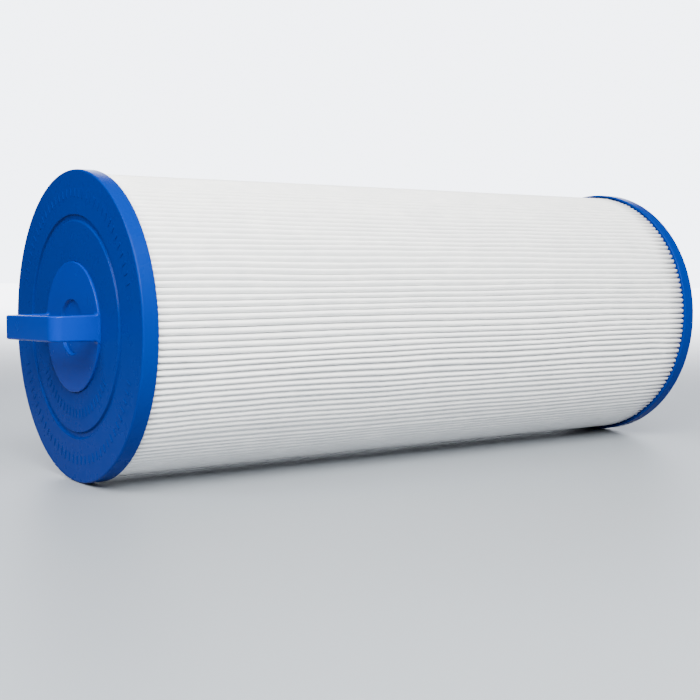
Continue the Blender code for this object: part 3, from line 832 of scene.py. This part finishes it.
def thread_tree():
    """A helical tooth: a closed four-sided bar wound round the shank, thinning out at both ends."""
    tree, given = new_tree("helical_thread", {
        "Root Radius": "Float", "Depth": "Float", "Pitch": "Float",
        "Turns": "Float", "Start": "Float", "Axis Height": "Float",
        "Steps": "Int"})
    grid = add_node(tree, "GeometryNodeMeshGrid", None,
                    {"Vertices X": given.outputs["Steps"], "Vertices Y": len(TOOTH)})
    index = add_node(tree, "GeometryNodeInputIndex")
    column = add_node(tree, "FunctionNodeIntegerMath", {"operation": "DIVIDE_FLOOR"},
                      {0: index, 1: len(TOOTH)})
    corner = add_node(tree, "FunctionNodeIntegerMath", {"operation": "MODULO"},
                      {0: index, 1: len(TOOTH)})
    last = add_node(tree, "FunctionNodeIntegerMath", {"operation": "SUBTRACT"},
                    {0: given.outputs["Steps"], 1: 1})
    share = add_node(tree, "ShaderNodeMath", {"operation": "DIVIDE"}, {0: column, 1: last})
    turns = add_node(tree, "ShaderNodeMath", {"operation": "MULTIPLY"},
                     {0: share, 1: given.outputs["Turns"]})
    # Corners in order: under the root, flank foot, crest, crest, flank foot, back under the root
    across = add_node(tree, "GeometryNodeIndexSwitch", {"data_type": "FLOAT"}, {"Index": corner})
    rise = add_node(tree, "GeometryNodeIndexSwitch", {"data_type": "FLOAT"}, {"Index": corner})
    while len(across.index_switch_items) < len(TOOTH):
        across.index_switch_items.new()
        rise.index_switch_items.new()
    for number, (wide, high) in enumerate(TOOTH, 1):
        across.inputs[number].default_value = wide
        rise.inputs[number].default_value = high
    ends = add_node(tree, "ShaderNodeMath", {"operation": "PINGPONG"}, {0: share, 1: 0.5})
    fade = add_node(tree, "ShaderNodeMapRange", {"interpolation_type": "SMOOTHSTEP"},
                    {"Value": ends, "From Min": 0.0, "From Max": THREAD_FADE})
    lifted = add_node(tree, "ShaderNodeMath", {"operation": "MULTIPLY"}, {0: rise, 1: fade})
    tooth = add_node(tree, "ShaderNodeMath", {"operation": "MULTIPLY"},
                     {0: lifted, 1: given.outputs["Depth"]})
    radius = add_node(tree, "ShaderNodeMath", {"operation": "ADD"},
                      {0: given.outputs["Root Radius"], 1: tooth})
    spread = add_node(tree, "ShaderNodeMath", {"operation": "MULTIPLY"}, {0: across, 1: fade})
    lead = add_node(tree, "ShaderNodeMath", {"operation": "ADD"}, {0: turns, 1: spread})
    climb = add_node(tree, "ShaderNodeMath", {"operation": "MULTIPLY"},
                     {0: lead, 1: given.outputs["Pitch"]})
    station = add_node(tree, "ShaderNodeMath", {"operation": "ADD"},
                       {0: given.outputs["Start"], 1: climb})
    angle = add_node(tree, "ShaderNodeMath", {"operation": "MULTIPLY"}, {0: turns, 1: 2 * math.pi})
    sine = add_node(tree, "ShaderNodeMath", {"operation": "SINE"}, {0: angle})
    cosine = add_node(tree, "ShaderNodeMath", {"operation": "COSINE"}, {0: angle})
    side = add_node(tree, "ShaderNodeMath", {"operation": "MULTIPLY"}, {0: radius, 1: cosine})
    up = add_node(tree, "ShaderNodeMath", {"operation": "MULTIPLY"}, {0: radius, 1: sine})
    height = add_node(tree, "ShaderNodeMath", {"operation": "ADD"},
                      {0: up, 1: given.outputs["Axis Height"]})
    placed = add_node(tree, "ShaderNodeCombineXYZ", None, {"X": station, "Y": side, "Z": height})
    wound = add_node(tree, "GeometryNodeSetPosition", None,
                     {"Geometry": grid.outputs["Mesh"], "Position": placed})
    welded = add_node(tree, "GeometryNodeMergeByDistance", None, {"Geometry": wound, "Distance": THREAD_WELD})
    return end_tree(tree, given, welded)


def make_nipple(finish):
    """The bored shank with its flange and spigot, and the tooth wound on it."""
    root = THREAD_RADIUS - THREAD_DEPTH
    end = NIPPLE_HIGH.x
    flange_front = BOTTOM_FACE - LIP - FIT
    flange_back = BOTTOM_FACE - PLATE
    chamfer_in, chamfer_back = NIPPLE_CHAMFER
    points = [
        (NIPPLE_BORE, end, 0.5 * MM),
        (root - chamfer_in, end, 0.3 * MM),
        (root, end - chamfer_back, 0.3 * MM),
        (root, flange_front, 0.0),
        (NIPPLE_FLANGE, flange_front, 0.2 * MM),
        (NIPPLE_FLANGE, flange_back, 0.2 * MM),
        (SPIGOT_RADIUS, flange_back, 0.0),
        (SPIGOT_RADIUS, NIPPLE_LOW.x, 0.4 * MM),
        (NIPPLE_BORE, NIPPLE_LOW.x, 0.4 * MM),
    ]
    shank = turned("nipple_moulding", points, finish)
    start = BOTTOM_FACE + THREAD_START + 0.4 * THREAD_PITCH
    turns = (end - THREAD_END_GAP - start) / THREAD_PITCH - 0.5
    sizes = {"Root Radius": root, "Depth": THREAD_DEPTH, "Pitch": THREAD_PITCH, "Turns": turns,
             "Start": start, "Axis Height": AXIS_HEIGHT, "Steps": int(turns * THREAD_STEPS)}
    tooth = bake_tree("tooth", thread_tree(), sizes, finish)
    face_outwards(tooth)
    return soft_shading(join_solid(shank, tooth))


# ---------------------------------------------------------------- stage, light and camera

def make_floor():
    """A pale floor of plain paper under the cartridge, with a wedge of painted light behind it: emission that
    brightens towards the backdrop.
    """
    bpy.ops.mesh.primitive_circle_add(vertices=96, radius=FLOOR_RADIUS, fill_type="NGON")
    floor = bpy.context.object
    floor.name = "floor"
    finish, tree, shader = new_material("satin_coated_backdrop_paper_painted_light", 1.45, 0.5)
    shader.inputs["Specular IOR Level"].default_value = 0.5
    place = add_node(tree, "ShaderNodeTexCoord").outputs["Object"]
    paper = add_node(tree, "ShaderNodeTexNoise", None, {"Vector": place, "Scale": 4.0, "Detail": 2.0})
    mix = add_node(tree, "ShaderNodeMix", {"data_type": "RGBA"},
                   {"Factor": paper, "A": linear("#838990"), "B": linear("#878D94")})
    tree.links.new(mix.outputs["Result"], shader.inputs["Base Color"])
    # Painted light: the floor's emission starts dark behind the cartridge and is as bright as the backdrop
    # where it meets it
    from_start = add_node(tree, "ShaderNodeVectorMath", {"operation": "SUBTRACT"},
                          {0: place, 1: PAINTED_GLOW_START})
    way = add_node(tree, "ShaderNodeVectorMath", {"operation": "NORMALIZE"}, {0: from_start})
    glow_wedge = patch(tree, way, BACKDROP_WAY, *PAINTED_GLOW_SPREAD)
    distance = add_node(tree, "ShaderNodeVectorMath", {"operation": "LENGTH"}, {0: from_start})
    level = add_node(tree, "ShaderNodeMapRange", {"interpolation_type": "SMOOTHSTEP"}, {
        "Value": distance.outputs["Value"], "From Min": PAINTED_GLOW_RISE[0], "From Max": PAINTED_GLOW_RISE[1],
        "To Max": BACKDROP_LEVEL})
    # This emission is painted light on the floor, which is no lamp
    painted_glow = add_node(tree, "ShaderNodeMath", {"operation": "MULTIPLY"}, {0: glow_wedge, 1: level})
    shader.inputs["Emission Color"].default_value = linear("#F7F9FF")
    tree.links.new(painted_glow.outputs[0], shader.inputs["Emission Strength"])
    floor.data.materials.append(finish)


def add_light(name, place, target, size, power, colour="#FFFFFF"):
    """A rectangular softbox turned to face its target."""
    data = bpy.data.lights.new(name, "AREA")
    data.shape = "RECTANGLE"
    data.size, data.size_y = size
    data.energy = power
    data.color = linear(colour)[:3]
    light = bpy.data.objects.new(name, data)
    light.location = place
    light.rotation_euler = (Vector(target) - Vector(place)).to_track_quat("-Z", "Y").to_euler()
    bpy.context.scene.collection.objects.link(light)


def make_lights():
    """A large softbox above the camera, and a small one over the cap's face that sets off its relief."""
    add_light("key_softbox", KEY_PLACE, (-0.02, 0.0, AXIS_HEIGHT), KEY_SIZE, KEY_POWER, "#FFFDF8")
    add_light("cap_softbox", CAP_LIGHT_PLACE, (TOP_FACE, 0.0, AXIS_HEIGHT), CAP_LIGHT_SIZE,
              CAP_LIGHT_POWER)


def patch(tree, place, aim, edge, full):
    """How much of a round patch of the surroundings a direction falls in, 0 to 1."""
    aligned = add_node(tree, "ShaderNodeVectorMath", {"operation": "DOT_PRODUCT"},
                       {0: place, 1: Vector(aim).normalized()})
    return add_node(tree, "ShaderNodeMapRange", {"interpolation_type": "SMOOTHSTEP"}, {
        "Value": aligned.outputs["Value"], "From Min": math.cos(math.radians(edge)),
        "From Max": math.cos(math.radians(full))})


def make_surroundings():
    """A dim pale studio with a lit backdrop behind the cartridge and a dark flag beside its cap."""
    world = bpy.data.worlds.new("studio")
    world.use_nodes = True
    tree = world.node_tree
    place = add_node(tree, "ShaderNodeTexCoord").outputs["Generated"]
    lit = patch(tree, place, BACKDROP_WAY, *BACKDROP_SPREAD)
    flag = patch(tree, place, FLAG_WAY, *FLAG_SPREAD)
    shaded = add_node(tree, "ShaderNodeMapRange", None,
                      {"Value": flag, "To Min": STUDIO_LEVEL, "To Max": FLAG_LEVEL})
    strength = add_node(tree, "ShaderNodeMapRange", None,
                        {"Value": lit, "To Min": shaded, "To Max": BACKDROP_LEVEL})
    background = tree.nodes["Background"]
    background.inputs["Color"].default_value = linear("#EEF4FF")
    tree.links.new(strength.outputs[0], background.inputs["Strength"])
    bpy.context.scene.world = world


def make_camera():
    """A three-quarter view from the handle end, a little above the axis, on a 63 mm lens."""
    data = bpy.data.cameras.new("camera")
    data.lens = CAMERA_LENS
    data.sensor_width = 36.0
    camera = bpy.data.objects.new("camera", data)
    place = Vector((TOP_FACE, 0.0, AXIS_HEIGHT)) + Vector(CAMERA_OFFSET) * CAP_RADIUS
    heading, drop, roll = (math.radians(angle) for angle in CAMERA_ANGLES)
    aim = Matrix.Rotation(heading - math.pi / 2, 4, "Z") @ Matrix.Rotation(math.pi / 2 - drop, 4, "X")
    camera.matrix_world = Matrix.Translation(place) @ aim @ Matrix.Rotation(roll, 4, "Z")
    bpy.context.scene.collection.objects.link(camera)
    bpy.context.scene.camera = camera


# ---------------------------------------------------------------- the cartridge

cap_blue = moulded_plastic("ABS_moulded_deep_blue", "#002674", "#00226E", 0.28, 0.04)
handle_blue = moulded_plastic("ABS_moulded_handle_blue", "#002B8A", "#002882", 0.24)
nipple_white = moulded_plastic("ABS_moulded_white", "#E4E6E8", "#DDDFE2", 0.3)
core_white = moulded_plastic("polypropylene_moulded_natural", "#E8E9EA", "#DFE1E3", 0.42)
media_white = spun_bonded_polyester("polyester_spun_bonded_white", "#F4F5F6", "#E9EBED")
resin_blue = cast_resin("polyurethane_cast_blue", "#003090", "#002880")
glue = set_glue("hot_melt_set_off_white", "#E6E2D4")

make_camera()
make_floor()
make_lights()
make_surroundings()

media, seam = make_media(media_white, glue)
pieces = (
    (make_top_cap(cap_blue), "top_cap", "cap_plastic"),
    (make_handle(handle_blue), "handle", "handle_plastic"),
    (media, "pleat_pack", "pleated_media"),
    (seam, "seam_bead", "seam_glue"),
    (make_bottom_cap(cap_blue), "bottom_cap", "cap_plastic"),
    (make_nipple(nipple_white), "threaded_nipple", "nipple_plastic"),
    (make_marks("cap_marks_upper", cap_blue, TOP_FACE, OUTER_MARKS, 200.0, 140.0, 34), None, "cap_plastic"),
    (make_marks("cap_marks_lower", cap_blue, TOP_FACE, OUTER_MARKS, 20.0, 140.0, 34), None, "cap_plastic"),
    (make_marks("cap_marks_inner", cap_blue, TOP_FACE, INNER_MARKS, 215.0, 110.0, 22), None, "cap_plastic"),
)
for piece, node, slot in pieces:
    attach(piece, "root")
    if node:
        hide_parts(node)

kept = {"top_potting": resin_blue, "bottom_potting": resin_blue, "core_plug": core_white}
kept.update({f"core_section_{number}": core_white for number in range(1, 5)})
for node, finish in kept.items():
    for material_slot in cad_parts[node].material_slots:
        material_slot.material = finish
